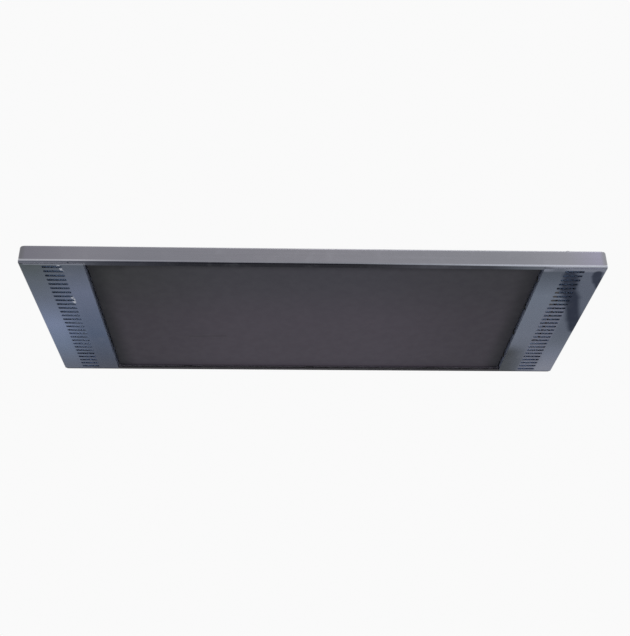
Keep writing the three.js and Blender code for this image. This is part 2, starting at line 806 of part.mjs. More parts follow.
function addStraps() {
  STRAP_PLACES.forEach((x, i) => {
    place(`${STRAP_NAMES[i]}_cross_strap`, crossStrap(), 'bluedSteel').position.x = x;
  });
}

// ---------- Heat shielding ----------

function addShielding() {
  const reflectorHalfWidth = HALF_WIDTH - CASE_SHEET - REFLECTOR_EDGE_GAP;
  place('reflector_sheet', box(
    -RADIANT_HALF_LENGTH,
    RADIANT_HALF_LENGTH,
    -reflectorHalfWidth,
    reflectorHalfWidth,
    REFLECTOR_BOTTOM,
    REFLECTOR_BOTTOM + REFLECTOR_SHEET,
  ), 'foil');
  place('insulation_blanket', box(
    -RADIANT_HALF_LENGTH,
    RADIANT_HALF_LENGTH,
    -WINDOW,
    WINDOW,
    BLANKET_BOTTOM,
    BLANKET_TOP,
  ), 'fibre');
}

// ---------- Wiring in the right end ----------

// The flat bar that joins the two hairpins in series
function addLinkBar() {
  const half = RUN_SPACING / 2;
  const end = half + LINK_WIDTH / 2;
  const bar = box(
    LUG_BOTTOM,
    LUG_BOTTOM + LUG_SHEET,
    -end,
    end,
    -LINK_WIDTH / 2,
    LINK_WIDTH / 2,
  );
  const bore = PIN_DIAMETER + 2 * PIN_FIT;
  const holes = [-half, half].map((y) => rodAlongX(bore, SHEATH_END, NUT_SEAT, y));
  place('series_link_bar', shape(bar, { cut: holes }), 'brass').position.z = RUN_Z;
}

function addPinNuts() {
  RUNS.forEach((y, i) => {
    const pinNut = place(`pin_nut_${i + 1}`, nut(PIN_DIAMETER), 'brass');
    pinNut.position.set(NUT_SEAT, y, RUN_Z);
    pinNut.rotation.y = Math.PI / 2;
  });
}

function sleeveY(way) {
  return BLOCK_MIDDLE + way * SLEEVE_SPACING;
}

function addTerminalBlock() {
  const back = BLOCK_FRONT + BLOCK_DEPTH;
  const top = FLOOR + BLOCK_HEIGHT;
  const body = box(
    BLOCK_FRONT,
    back,
    BLOCK_MIDDLE - BLOCK_LENGTH / 2,
    BLOCK_MIDDLE + BLOCK_LENGTH / 2,
    FLOOR,
    top,
  );
  const bore = SLEEVE_DIAMETER + 2 * FIT;
  const ways = [-1, 0, 1].map((way) => rodAlongX(
    bore,
    BLOCK_FRONT - FIT,
    back + FIT,
    sleeveY(way),
    SLEEVE_Z,
  ));
  const wells = [-1, 0, 1].flatMap((way) => [-1, 1].map((side) => rod(
    SCREW_WELL,
    SLEEVE_Z,
    top + FIT,
    BLOCK_STUD_X + (side * SLEEVE_LENGTH) / 4,
    sleeveY(way),
  )));
  const studHole = rod(
    STUD_DIAMETER + 2 * PIN_FIT,
    FLOOR - FIT,
    top + FIT,
    BLOCK_STUD_X,
    BLOCK_STUD_Y,
  );
  place('terminal_block', shape(body, { cut: [...ways, ...wells, studHole] }), 'ceramic');
  place('block_nut', nut(STUD_DIAMETER), 'zincSteel')
    .position.set(BLOCK_STUD_X, BLOCK_STUD_Y, top + FIT);
  [-1, 0, 1].forEach((way, i) => {
    const outline = tubeOutline(WIRE_DIAMETER / 2 + FIT, SLEEVE_DIAMETER / 2, SLEEVE_LENGTH);
    const sleeve = place(`terminal_sleeve_${i + 1}`, turned(outline, HOLE_SIDES), 'brass');
    sleeve.position.set(BLOCK_STUD_X - SLEEVE_LENGTH / 2, sleeveY(way), SLEEVE_Z);
    sleeve.rotation.y = Math.PI / 2;
  });
}

// Bimetal cut-out on the bulkhead's cool side, with two tabs for the wires
function addCutout() {
  const seat = BULKHEAD_COOL + FIT;
  const y = CUTOUT_Y;
  const z = CUTOUT_Z;
  const flange = box(
    seat,
    seat + CUTOUT_FLANGE_SHEET,
    y - CUTOUT_FLANGE_WIDTH / 2,
    y + CUTOUT_FLANGE_WIDTH / 2,
    z - CUTOUT_FLANGE_HEIGHT / 2,
    z + CUTOUT_FLANGE_HEIGHT / 2,
  );
  const caseEnd = seat + CUTOUT_DEPTH;
  const tab = (side) => box(
    caseEnd - FIT,
    caseEnd + TAB_LENGTH,
    y + (side * TAB_SPACING) / 2 - TAB_SHEET / 2,
    y + (side * TAB_SPACING) / 2 + TAB_SHEET / 2,
    z - TAB_WIDTH / 2,
    z + TAB_WIDTH / 2,
  );
  const body = rodAlongX(CUTOUT_DIAMETER, seat, caseEnd, y, z, ROUND_SIDES);
  place('thermal_cutout', shape(body, { joined: [flange, tab(-1), tab(1)] }), 'bakelite');
}

// A ring lug on a pin at the given Y, with its tongue towards the wire
function pinLug(y, side) {
  const back = LUG_BOTTOM + LUG_SHEET;
  const tongue = [y, y + side * LUG_TONGUE].sort((a, b) => a - b);
  const halfTongue = WIRE_DIAMETER / 2 + LUG_SHEET;
  return {
    joined: [
      rodAlongX(LINK_WIDTH, LUG_BOTTOM, back, y, RUN_Z),
      box(LUG_BOTTOM, back, ...tongue, RUN_Z - halfTongue, RUN_Z + halfTongue),
    ],
    cut: [rodAlongX(PIN_DIAMETER + 2 * PIN_FIT, SHEATH_END, NUT_SEAT, y, RUN_Z)],
  };
}

function earthLug(x, y) {
  const bottom = FLOOR + FIT;
  const top = bottom + LUG_SHEET;
  const halfTongue = WIRE_DIAMETER / 2 + LUG_SHEET;
  return {
    joined: [
      rod(LINK_WIDTH, bottom, top, x, y),
      box(x - halfTongue, x + halfTongue, y - LUG_TONGUE, y, bottom, top),
    ],
    cut: [rod(STUD_DIAMETER + 2 * PIN_FIT, 0, RUN_Z, x, y)],
  };
}

function wire(corners) {
  return bentTube(
    corners.map(([x, y, z]) => [x, y, z, WIRE_BEND]),
    WIRE_DIAMETER,
    WIRE_SIDES,
    WIRE_BEND_STEPS,
  );
}

function addWires() {
  const sleeveMouth = BLOCK_STUD_X + SLEEVE_LENGTH / 4;
  const turnX = BLOCK_FRONT + BLOCK_DEPTH + WIRE_CLEARANCE;
  const lugX = LUG_BOTTOM + LUG_SHEET / 2;
  const tabX = BULKHEAD_COOL + FIT + CUTOUT_DEPTH + TAB_LENGTH + FIT;
  const tabY = (side) => CUTOUT_Y + (side * TAB_SPACING) / 2;
  const [firstPin, , , lastPin] = RUNS;

  place('neutral_wire', shape(wire([
    [sleeveMouth, sleeveY(-1), SLEEVE_Z],
    [turnX, sleeveY(-1), SLEEVE_Z],
    [turnX, firstPin + WIRE_RUN_UP, RUN_Z],
    [lugX, firstPin + WIRE_RUN_UP, RUN_Z],
    [lugX, firstPin + WIRE_TO_PIN, RUN_Z],
  ]), pinLug(firstPin, 1)), 'blueSleeve');

  place('live_wire', wire([
    [sleeveMouth, sleeveY(1), SLEEVE_Z],
    [turnX, sleeveY(1), SLEEVE_Z],
    [turnX, tabY(-1) - WIRE_SLOPE, SLEEVE_Z],
    [turnX, tabY(-1), CUTOUT_Z],
    [tabX, tabY(-1), CUTOUT_Z],
  ]), 'brownSleeve');

  place('switched_live_wire', shape(wire([
    [tabX, tabY(1), CUTOUT_Z],
    [tabX + WIRE_SLOPE, tabY(1), CUTOUT_Z],
    [tabX + WIRE_SLOPE, lastPin - WIRE_RUN_UP, RUN_Z],
    [lugX, lastPin - WIRE_RUN_UP, RUN_Z],
    [lugX, lastPin - WIRE_TO_PIN, RUN_Z],
  ]), pinLug(lastPin, -1)), 'brownSleeve');

  const lowZ = FLOOR + FIT + (LUG_SHEET + WIRE_DIAMETER) / 2;
  place('earth_wire', shape(wire([
    [sleeveMouth, sleeveY(0), SLEEVE_Z],
    [EARTH_X, sleeveY(0), SLEEVE_Z],
    [EARTH_X, EARTH_Y - WIRE_RUN_UP - WIRE_SLOPE, SLEEVE_Z],
    [EARTH_X, EARTH_Y - WIRE_RUN_UP, lowZ],
    [EARTH_X, EARTH_Y - WIRE_TO_PIN, lowZ],
  ]), earthLug(EARTH_X, EARTH_Y)), 'greenYellowSleeve');
  place('earth_nut', nut(STUD_DIAMETER), 'brass')
    .position.set(EARTH_X, EARTH_Y, FLOOR + FIT + LUG_SHEET + FIT);
}

// ---------- Cable gland ----------

// Every gland piece is built about the gland's axis with Z = 0 on the back cover's top face
function glandBody() {
  const bore = GLAND_BORE / 2;
  const thread = GLAND_THREAD / 2;
  const neckTop = GLAND_HEX_HEIGHT + GLAND_NECK;
  const tube = turned([
    [bore, -COVER_SHEET - GLAND_TAIL],
    [thread, -COVER_SHEET - GLAND_TAIL],
    [thread, neckTop],
    [bore, neckTop],
    [bore, -COVER_SHEET - GLAND_TAIL],
  ]);
  const flange = hexRing(GLAND_HEX, bore + thread, GLAND_HEX_HEIGHT - FIT)
    .translate(0, 0, FIT);
  return shape(tube, { joined: [flange] });
}

function glandDomeNut() {
  const thread = GLAND_THREAD / 2 + FIT;
  const outer = GLAND_HEX / 2;
  const mouth = GLAND_MOUTH / 2;
  const top = GLAND_NUT_HEIGHT;
  return turned([
    [thread, 0],
    [outer, 0],
    ...dome(mouth + GLAND_RIM, outer, top - GLAND_DOME_RISE, top),
    [mouth, top],
    [mouth, top - GLAND_LIP],
    [thread, top - GLAND_LIP],
    [thread, 0],
  ]);
}

function addGland() {
  const gland = new THREE.Group();
  gland.position.set(GLAND_X, GLAND_Y, COVER_TOP);
  heater.add(gland);
  place('gland_body', glandBody(), 'blackNylon', gland);
  const nutBottom = GLAND_HEX_HEIGHT + FIT;
  place('gland_dome_nut', glandDomeNut(), 'blackNylon', gland).position.z = nutBottom;
  const sealHeight = GLAND_NUT_HEIGHT - GLAND_LIP - GLAND_NECK - FIT;
  const sealOutline = tubeOutline(SEAL_BORE / 2, GLAND_THREAD / 2, sealHeight);
  place('gland_seal', turned(sealOutline), 'rubber', gland)
    .position.z = GLAND_HEX_HEIGHT + GLAND_NECK + FIT;
  const locknut = hexRing(GLAND_HEX, GLAND_THREAD + 2 * FIT, LOCKNUT_HEIGHT);
  place('gland_locknut', locknut, 'blackNylon', gland)
    .position.z = -COVER_SHEET - FIT - LOCKNUT_HEIGHT;
}

// ---------- Suspension rings ----------

// The ring's hinge is the Y axis, and the ring lies towards +X
function suspensionRing() {
  const middle = (RING_INNER_WIDTH + RING_WIRE) / 2;
  const bow = RING_REACH - RING_WIRE / 2;
  return bentTube([
    [0, RING_BUTT_GAP / 2, 0],
    [0, middle, 0, RING_CORNER],
    [bow, middle, 0, middle],
    [bow, -middle, 0, middle],
    [0, -middle, 0, RING_CORNER],
    [0, -RING_BUTT_GAP / 2, 0],
  ], RING_WIRE, RING_SIDES, RING_BEND_STEPS);
}

// A strap over the ring's bar, riveted to the back cover; Z = 0 is the hinge's height
function saddle() {
  const half = SADDLE_SHEET / 2;
  const inside = RING_WIRE / 2 / Math.cos(Math.PI / RING_SIDES) + FIT;
  const humpHalf = inside + half;
  const footZ = COVER_TOP - RING_AXIS_Z + half;
  const footEnd = humpHalf + half + SADDLE_FOOT;
  const section = foldedSheet([
    [-footEnd, footZ],
    [-humpHalf, footZ, SADDLE_BEND_INSIDE],
    [-humpHalf, humpHalf, inside],
    [humpHalf, humpHalf, inside],
    [humpHalf, footZ, SADDLE_BEND_INSIDE],
    [footEnd, footZ],
  ], SADDLE_SHEET, HUMP_STEPS);
  const rivet = (x) => turned([
    [0, -half],
    [RIVET_HEAD / 2, -half],
    ...dome(0, RIVET_HEAD / 2, half, half + RIVET_RISE),
  ], HOLE_SIDES).translate(x, 0, footZ);
  const rivetX = humpHalf + half + SADDLE_FOOT / 2;
  return shape(extrudedAlongY(section, SADDLE_WIDTH), { joined: [rivet(-rivetX), rivet(rivetX)] });
}

function addSuspension() {
  const x = HALF_LENGTH - RING_INSET[0];
  const y = HALF_WIDTH - RING_INSET[1];
  const corners = [
    ['front_left', -x, -y],
    ['front_right', x, -y],
    ['rear_left', -x, y],
    ['rear_right', x, y],
  ];
  for (const [corner, cornerX, cornerY] of corners) {
    const hanger = new THREE.Group();
    hanger.position.set(cornerX, cornerY, RING_AXIS_Z);
    hanger.rotation.z = cornerX > 0 ? Math.PI : 0;
    heater.add(hanger);
    place(`${corner}_saddle`, saddle(), 'zincSteel', hanger);
    place(`${corner}_ring`, suspensionRing(), 'zincSteel', hanger);
  }
}

// ---------- The heater ----------

addCasing();
addRadiantPlate();
addElements();
addStraps();
addShielding();
addLinkBar();
addPinNuts();
addTerminalBlock();
addCutout();
addWires();
addGland();
addSuspension();
addCoverScrews();

export default heater;
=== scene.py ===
import json
import math

import bmesh
import bpy
from mathutils import Matrix, Vector


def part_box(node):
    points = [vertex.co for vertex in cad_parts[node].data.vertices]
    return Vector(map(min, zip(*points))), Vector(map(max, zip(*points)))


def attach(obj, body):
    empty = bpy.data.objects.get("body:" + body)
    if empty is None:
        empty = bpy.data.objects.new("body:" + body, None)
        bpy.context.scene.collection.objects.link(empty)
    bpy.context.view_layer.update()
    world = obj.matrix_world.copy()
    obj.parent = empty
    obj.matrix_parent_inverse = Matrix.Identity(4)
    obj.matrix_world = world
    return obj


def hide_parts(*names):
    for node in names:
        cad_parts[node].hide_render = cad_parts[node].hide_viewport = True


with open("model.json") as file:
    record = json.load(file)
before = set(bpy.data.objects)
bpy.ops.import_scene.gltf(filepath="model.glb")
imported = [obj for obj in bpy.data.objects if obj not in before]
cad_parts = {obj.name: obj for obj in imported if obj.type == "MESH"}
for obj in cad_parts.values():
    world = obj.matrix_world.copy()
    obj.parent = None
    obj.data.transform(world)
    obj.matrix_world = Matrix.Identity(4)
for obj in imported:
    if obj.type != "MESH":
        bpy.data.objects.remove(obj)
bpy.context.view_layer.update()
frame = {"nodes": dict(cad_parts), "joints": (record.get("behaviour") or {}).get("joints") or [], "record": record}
nodes = frame["nodes"]

# ---------- Sizes and places, in metres ----------

MM = 0.001
SHARP_ANGLE = math.radians(35)
WELD = 1e-6


def rounded(values):
    """To the micrometre, as the sizes were before the frame's file stored them."""
    return [round(float(value), 6) for value in values]


def middle(node):
    """The middle of a CAD node's box."""
    low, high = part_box(node)
    return rounded((a + b) / 2 for a, b in zip(low, high))


rail_low, rail_high = map(rounded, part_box("front_rail"))
HALF_LENGTH = rail_high[0]
HALF_WIDTH = -rail_low[1]
RAIL_FOOT = rail_low[2]
OPENING = rounded(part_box("right_end_plate")[0])[0]  # Half the length between the end plates
COVER_TOP = rounded(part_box("back_cover")[1])[2]
SCREWS = 6

# ---------- Shader building ----------


def operation(kind):
    """A method that adds one kind of math node."""

    def apply(self, first, second=0.0):
        made = self.node("ShaderNodeMath", {0: first, 1: second}, operation=kind)
        return made.outputs[0]

    return apply


class Nodes:
    """A node tree, with short ways to add and link its nodes."""

    add = operation("ADD")
    subtract = operation("SUBTRACT")
    multiply = operation("MULTIPLY")
    largest = operation("MAXIMUM")
    greater = operation("GREATER_THAN")
    size = operation("ABSOLUTE")
    sign = operation("SIGN")
    sine = operation("SINE")

    def __init__(self, tree):
        self.tree = tree

    def node(self, kind, inputs=None, **settings):
        made = self.tree.nodes.new(kind)
        for name, value in settings.items():
            setattr(made, name, value)
        for socket, value in (inputs or {}).items():
            self.feed(made.inputs[socket], value)
        return made

    def feed(self, socket, value):
        """Links a socket to another one, or sets its value. A colour is three numbers."""
        if isinstance(value, bpy.types.NodeSocket):
            self.tree.links.new(value, socket)
        elif socket.type == "RGBA":
            socket.default_value = (*value, 1)
        else:
            socket.default_value = value


class Shader(Nodes):
    """A material, with the textures and masks that its colours and bumps are made from."""

    def __init__(self, name, metallic=0.0, roughness=0.5, **sockets):
        self.material = bpy.data.materials.new(name)
        self.material.use_nodes = True
        super().__init__(self.material.node_tree)
        self.surface = self.tree.nodes["Principled BSDF"]
        self.surface.inputs["Metallic"].default_value = metallic
        self.surface.inputs["Roughness"].default_value = roughness
        for socket, value in sockets.items():
            self.surface.inputs[socket.replace("_", " ")].default_value = value
        self.place = self.tree.nodes.new("ShaderNodeTexCoord").outputs["Object"]

    # What the surface gets

    def colour(self, value):
        self.feed(self.surface.inputs["Base Color"], value)

    def metallic(self, value):
        self.feed(self.surface.inputs["Metallic"], value)

    def roughness(self, value):
        self.feed(self.surface.inputs["Roughness"], value)

    def bump(self, height, distance, strength=1.0):
        """Adds a bump on top of the ones that are there already."""
        inputs = {"Height": height, "Distance": distance, "Strength": strength}
        normal = self.surface.inputs["Normal"]
        if normal.is_linked:
            inputs["Normal"] = normal.links[0].from_socket
        self.feed(normal, self.node("ShaderNodeBump", inputs).outputs[0])

    # Places and directions

    def axes(self, vector=None):
        made = self.node("ShaderNodeSeparateXYZ", {"Vector": vector or self.place})
        return made.outputs

    def facing(self):
        """The surface's true normal, as three values."""
        return self.axes(self.node("ShaderNodeNewGeometry").outputs["True Normal"])

    def stretched(self, scale, offset=(0, 0, 0)):
        inputs = {"Vector": self.place, "Scale": scale, "Location": offset}
        return self.node("ShaderNodeMapping", inputs).outputs[0]

    def warped(self, scale, amount):
        """The place, pushed about by soft noise so that painted shapes get natural edges."""
        inputs = {"Vector": self.place, "Scale": scale, "Detail": 2.0}
        push = self.node("ShaderNodeTexNoise", inputs).outputs["Color"]
        push = self.vector("SUBTRACT", push, (0.5, 0.5, 0.5))
        push = self.vector("MULTIPLY", push, (amount, amount, amount))
        return self.vector("ADD", self.place, push)

    def vector(self, kind, first, second):
        made = self.node("ShaderNodeVectorMath", {0: first, 1: second}, operation=kind)
        return made.outputs["Value" if kind in ("DOT_PRODUCT", "DISTANCE") else "Vector"]

    # Values and masks

    def noise(self, scale, detail=2.0, rough=0.5, place=None):
        inputs = {
            "Vector": place or self.place,
            "Scale": scale,
            "Detail": detail,
            "Roughness": rough,
        }
        return self.node("ShaderNodeTexNoise", inputs).outputs["Fac"]

    def span(self, value, low, high, to_low=0.0, to_high=1.0, smooth=True):
        """to_low where value is low, to_high where it is high, and in between on the way."""
        inputs = {
            "Value": value,
            "From Min": low,
            "From Max": high,
            "To Min": to_low,
            "To Max": to_high,
        }
        kind = "SMOOTHSTEP" if smooth else "LINEAR"
        return self.node("ShaderNodeMapRange", inputs, interpolation_type=kind).outputs["Result"]

    def stroke(self, start, end, radius, soft, place=None):
        """1 within radius of a line from start to end in X and Y, falling to 0 over soft."""
        flat = self.vector("MULTIPLY", place or self.place, (1, 1, 0))
        start = Vector((*start, 0))
        way = Vector((*end, 0)) - start
        from_start = self.vector("SUBTRACT", flat, tuple(start))
        share = self.vector("DOT_PRODUCT", from_start, tuple(way / way.length_squared))
        share = self.node("ShaderNodeClamp", {"Value": share}).outputs[0]
        inputs = {0: tuple(way), "Scale": share}
        nearest = self.node("ShaderNodeVectorMath", inputs, operation="SCALE").outputs[0]
        distance = self.vector("DISTANCE", from_start, nearest)
        return self.span(distance, radius + soft, radius)

    def strokes(self, lines, place=None):
        """The strongest of several strokes, each (start, end, radius, soft)."""
        total = 0.0
        for line in lines:
            total = self.largest(total, self.stroke(*line, place))
        return total

    # Colours

    def mix(self, fac, first, second, blend="MIX"):
        """Inputs 6 and 7 and output 2 are the ones that the mix node uses for colours."""
        inputs = {"Factor": fac, 6: first, 7: second}
        return self.node("ShaderNodeMix", inputs, data_type="RGBA", blend_type=blend).outputs[2]

    def ramp(self, value, stops):
        """A colour that follows value through stops of (position, colour)."""
        made = self.node("ShaderNodeValToRGB", {"Fac": value})
        elements = made.color_ramp.elements
        while len(elements) < len(stops):
            elements.new(0.5)
        for element, (position, colour) in zip(elements, stops):
            element.position = position
            element.color = (*colour, 1)
        return made.outputs["Color"]

    def patched(self, colour, patches, place=None):
        """Soft strokes laid over a colour, each (start, end, radius, soft, amount, its colour)."""
        for *line, amount, patch in patches:
            colour = self.mix(self.multiply(self.stroke(*line, place), amount), colour, patch)
        return colour


def tone(red, green, blue):
    """A colour given as it looks on a screen, from 0 to 255."""
    return tuple(((c / 255 + 0.055) / 1.055) ** 2.4 for c in (red, green, blue))


# ---------- Sheet of the casing ----------


def stainless(name, grain, paint):
    """Rolled stainless sheet. grain is the noise scale along X, Y and Z.

    paint gives the sheet's tone and, from 0 to 1, how dull it is."""
    polish = 0.92
    sh = Shader(name, metallic=polish, Specular_IOR_Level=0.0)
    fine = sh.noise(1.0, 3.0, 0.55, sh.stretched(grain))
    colour, dull = paint(sh)
    grained = sh.span(fine, 0.3, 0.7, 0.0, 0.10)
    colour = sh.mix(grained, colour, (0.66, 0.66, 0.68), "SOFT_LIGHT")
    smudge = sh.noise(34.0, 5.0, 0.65)
    colour = sh.mix(sh.span(smudge, 0.52, 0.8, 0.0, 0.10), colour, (0.34, 0.35, 0.38))
    smudged = sh.span(smudge, 0.35, 0.75, 0.25, 0.34)
    sh.roughness(sh.add(smudged, sh.span(fine, 0.3, 0.7, -0.02, 0.03)))
    inside = inner_faces(sh)
    dull = sh.largest(inside, dull)
    sh.metallic(sh.span(dull, 0.0, 1.0, polish, 0.0, smooth=False))
    sh.colour(sh.mix(inside, colour, inner_tone(sh)))
    sh.bump(fine, 0.00002, 0.35)
    sh.bump(sh.noise(4.5, 2.0, 0.5, sh.stretched((0.5, 1.0, 1.0))), 0.0012, 0.12)
    return sh.material


def inner_faces(sh):
    """1 on the faces that look into the casing, which have a pale dull finish."""
    _, facing_y, facing_z = sh.facing()
    _, y, z = sh.axes()
    floor = sh.multiply(sh.span(facing_z, 0.6, 0.9), sh.span(z, 10 * MM, 6 * MM))
    ceiling = sh.multiply(sh.span(facing_z, -0.6, -0.9), sh.span(z, 28 * MM, 30 * MM))
    outward = sh.multiply(facing_y, sh.sign(y))
    at_wall = sh.span(sh.size(y), HALF_WIDTH - 2 * MM, HALF_WIDTH - 1.4 * MM)
    wall = sh.multiply(sh.span(outward, -0.6, -0.9), at_wall)
    return sh.largest(sh.largest(floor, ceiling), wall)


def inner_tone(sh):
    """The inner faces: grey over the elements, bluer and paler past the bulkheads."""
    x, y, _ = sh.axes()
    ends = sh.span(sh.size(x), OPENING + 2 * MM, OPENING + 9 * MM)
    pale = sh.multiply(sh.span(y, -0.04, 0.10), ends)
    inner_base = sh.mix(ends, (0.34, 0.32, 0.38), (0.24, 0.33, 0.50))
    return sh.mix(pale, inner_base, (0.46, 0.56, 0.76))


def painted_side_reflection(sh):
    """Painted reflections on the casing's upright sides, from 0 at the left end to 1 at the right end."""
    x, _, _ = sh.axes()
    # Painted reflections along the sides; the narrow strips at both ends are painted shading of the corners
    side = sh.ramp(sh.span(x, -HALF_LENGTH, HALF_LENGTH, smooth=False), [
        (0.006, tone(108, 108, 113)),
        (0.012, tone(118, 117, 126)),
        (0.11, tone(129, 128, 136)),
        (0.20, tone(124, 124, 132)),
        (0.50, tone(130, 129, 136)),
        (0.84, tone(136, 137, 144)),
        (0.93, tone(148, 148, 156)),
        (0.988, tone(157, 155, 173)),
        (0.994, tone(148, 148, 153)),
    ])
    cloud = sh.noise(6.0, 3.0, 0.55, sh.stretched((0.5, 1.0, 2.0), (1.3, 0.2, 0.0)))
    return sh.mix(sh.span(cloud, 0.3, 0.7, 0.0, 0.16), side, tone(112, 111, 118))


def rail_paint(sh):
    """A rail: side face, lower bend with painted highlight, lower flange with painted reflection and shade."""
    x, y, z = sh.axes()
    along = sh.span(x, -HALF_LENGTH, HALF_LENGTH, smooth=False)
    # Millimetres along the section: up the face from 0, and down to -12 across the flange
    inward = sh.subtract(HALF_WIDTH, sh.size(y))
    run = sh.multiply(sh.subtract(sh.subtract(z, RAIL_FOOT), inward), 1 / MM)

    # Painted reflections along the lower flange: dark in the middle, lighter towards both ends
    flange = sh.ramp(along, [
        (0.00, tone(102, 106, 116)),
        (0.08, tone(90, 93, 104)),
        (0.14, tone(60, 62, 72)),
        (0.28, tone(24, 25, 34)),
        (0.58, tone(26, 26, 33)),
        (0.70, tone(66, 66, 74)),
        (0.80, tone(56, 58, 66)),
        (0.86, tone(92, 97, 106)),
        (0.89, tone(104, 108, 117)),
        (0.91, tone(148, 151, 161)),
    ])
    # A painted highlight across the flange at the left end
    end_highlight = sh.multiply(sh.span(run, -4.4, -6.0), sh.span(x, -0.386, -0.396))
    flange = sh.mix(end_highlight, flange, tone(168, 171, 180))
    # The rear rail's flange is darker: painted shade
    flange = sh.mix(sh.span(y, -0.1, 0.1), flange, tone(30, 26, 33))
    on_flange = sh.multiply(sh.span(run, 1.5, -0.5), sh.span(z, 6 * MM, 4 * MM))
    colour = sh.mix(on_flange, painted_side_reflection(sh), flange)

    # Painted highlight along the lower bend
    bend = sh.ramp(along, [
        (0.02, tone(165, 166, 173)),
        (0.10, tone(174, 174, 182)),
        (0.20, tone(148, 149, 157)),
        (0.36, tone(128, 129, 136)),
        (0.55, tone(127, 129, 136)),
        (0.70, tone(143, 146, 154)),
        (0.82, tone(172, 175, 184)),
        (0.94, tone(192, 194, 204)),
    ])
    # The painted highlight's two borders, which drift along the rail
    top = sh.span(x, -0.4, 0.4, 3.6, 2.1)
    foot = sh.add(
        sh.span(x, -HALF_LENGTH, -0.27, -0.25, 2.65, smooth=False),
        sh.span(x, -0.2, 0.35, 0.0, -4.7, smooth=False),
    )
    painted_highlight = sh.multiply(
        sh.span(sh.subtract(run, top), 0.7, -0.3),
        sh.span(sh.subtract(run, foot), -0.9, 0.5),
    )
    return sh.mix(painted_highlight, colour, bend), 0.0


def cover_paint(sh):
    """The back cover: an even tone with faint clouds."""
    cloud = sh.noise(5.0, 3.0, 0.55, sh.stretched((0.6, 1.0, 1.0)))
    return sh.mix(sh.span(cloud, 0.3, 0.7), tone(128, 128, 134), tone(140, 140, 147)), 0.0


def plate_paint(sh):
    """The slotted end plates' undersides: broad soft painted reflections, painted dark strokes, light marks."""
    soft = sh.warped(9.0, 0.016)
    x, y, _ = sh.axes(soft)
    along = sh.span(y, -0.2, 0.2, smooth=False)
    outer = sh.span(sh.size(x), 0.418, 0.478)
    left = left_plate(sh, along, outer)
    right = right_plate(sh, along, outer, soft)
    underside = sh.greater(-0.75, sh.facing()[2])
    # Painted dark reflections on the right plate's underside, also made dull so that they stay dark
    dark = sh.multiply(sh.multiply(dark_reflection_streaks(sh), 0.96), underside)
    right = sh.mix(dark, right, (0.030, 0.036, 0.055))
    colour = sh.mix(sh.span(x, -0.1, 0.1), left, right)
    cloud = sh.noise(16.0, 3.0, 0.6)
    colour = sh.mix(sh.span(cloud, 0.35, 0.75, 0.0, 0.08), colour, tone(130, 136, 150))
    colour = sh.mix(light_marks(sh), colour, tone(196, 199, 206))
    return sh.mix(underside, painted_side_reflection(sh), colour), dark


def left_plate(sh, along, outer):
    """The left plate's painted reflections, from inner to outer half, with a painted near-edge highlight."""
    # Painted reflections over the inner and the outer half
    inner_half = sh.ramp(along, [
        (0.02, tone(92, 99, 110)),
        (0.24, tone(108, 117, 140)),
        (0.62, tone(79, 93, 118)),
        (0.98, tone(66, 71, 86)),
    ])
    outer_half = sh.ramp(along, [
        (0.02, tone(82, 90, 92)),
        (0.30, tone(104, 113, 130)),
        (0.54, tone(126, 139, 168)),
        (0.74, tone(110, 125, 150)),
        (0.96, tone(95, 102, 118)),
    ])
    plate = sh.mix(outer, inner_half, outer_half)
    # Painted highlight along the near edge
    edge = sh.stroke((-0.49, -0.1977), (-OPENING, -0.1977), 0.0012, 0.003)
    return sh.mix(sh.multiply(edge, 0.8), plate, tone(146, 150, 160))


def right_plate(sh, along, outer, soft):
    """The right plate's painted reflections, alike; its painted near-edge highlight is weaker in one place."""
    # Painted reflections over the inner and the outer half
    inner_half = sh.ramp(along, [
        (0.03, tone(80, 87, 98)),
        (0.24, tone(112, 121, 136)),
        (0.60, tone(110, 117, 132)),
        (0.92, tone(88, 94, 106)),
    ])
    outer_half = sh.ramp(along, [
        (0.05, tone(94, 101, 116)),
        (0.56, tone(91, 99, 114)),
        (0.66, tone(98, 106, 120)),
        (0.80, tone(118, 125, 142)),
        (0.96, tone(134, 138, 152)),
    ])
    # Painted reflections: a dark patch at the inner far corner and a light strip along the slots
    plate = sh.patched(sh.mix(outer, inner_half, outer_half), [
        ((OPENING, 0.12), (0.398, 0.20), 0.002, 0.045, 1.0, tone(54, 59, 65)),
        ((0.4455, -0.06), (0.4455, 0.20), 0.014, 0.008, 0.8, tone(112, 116, 132)),
    ], soft)
    # Painted highlight along the near edge
    edge = sh.stroke((OPENING, -0.195), (0.50, -0.195), 0.003, 0.007)
    weak = 0.420
    from_weak = sh.size(sh.subtract(sh.axes(soft)[0], weak))
    edge = sh.multiply(edge, sh.span(from_weak, 0.004, 0.022, 0.4, 0.9))
    return sh.mix(edge, plate, tone(131, 135, 147))


def dark_reflection_streaks(sh):
    """Two dark strokes of painted reflection on the right end plate."""
    return sh.strokes([
        ((0.440, -0.178), (0.446, -0.160), 0.007, 0.011),
        ((0.446, -0.160), (0.450, -0.130), 0.009, 0.012),
        ((0.450, -0.130), (0.465, -0.100), 0.008, 0.012),
        ((0.465, -0.100), (0.476, -0.060), 0.007, 0.011),
        ((0.476, -0.060), (0.488, -0.020), 0.007, 0.012),
        ((0.488, -0.020), (0.500, 0.016), 0.006, 0.011),
        ((0.487, -0.182), (0.488, -0.175), 0.005, 0.006),
        ((0.487, -0.175), (0.4935, -0.157), 0.005, 0.006),
        ((0.4935, -0.157), (0.501, -0.140), 0.003, 0.006),
    ], sh.warped(12.0, 0.008))


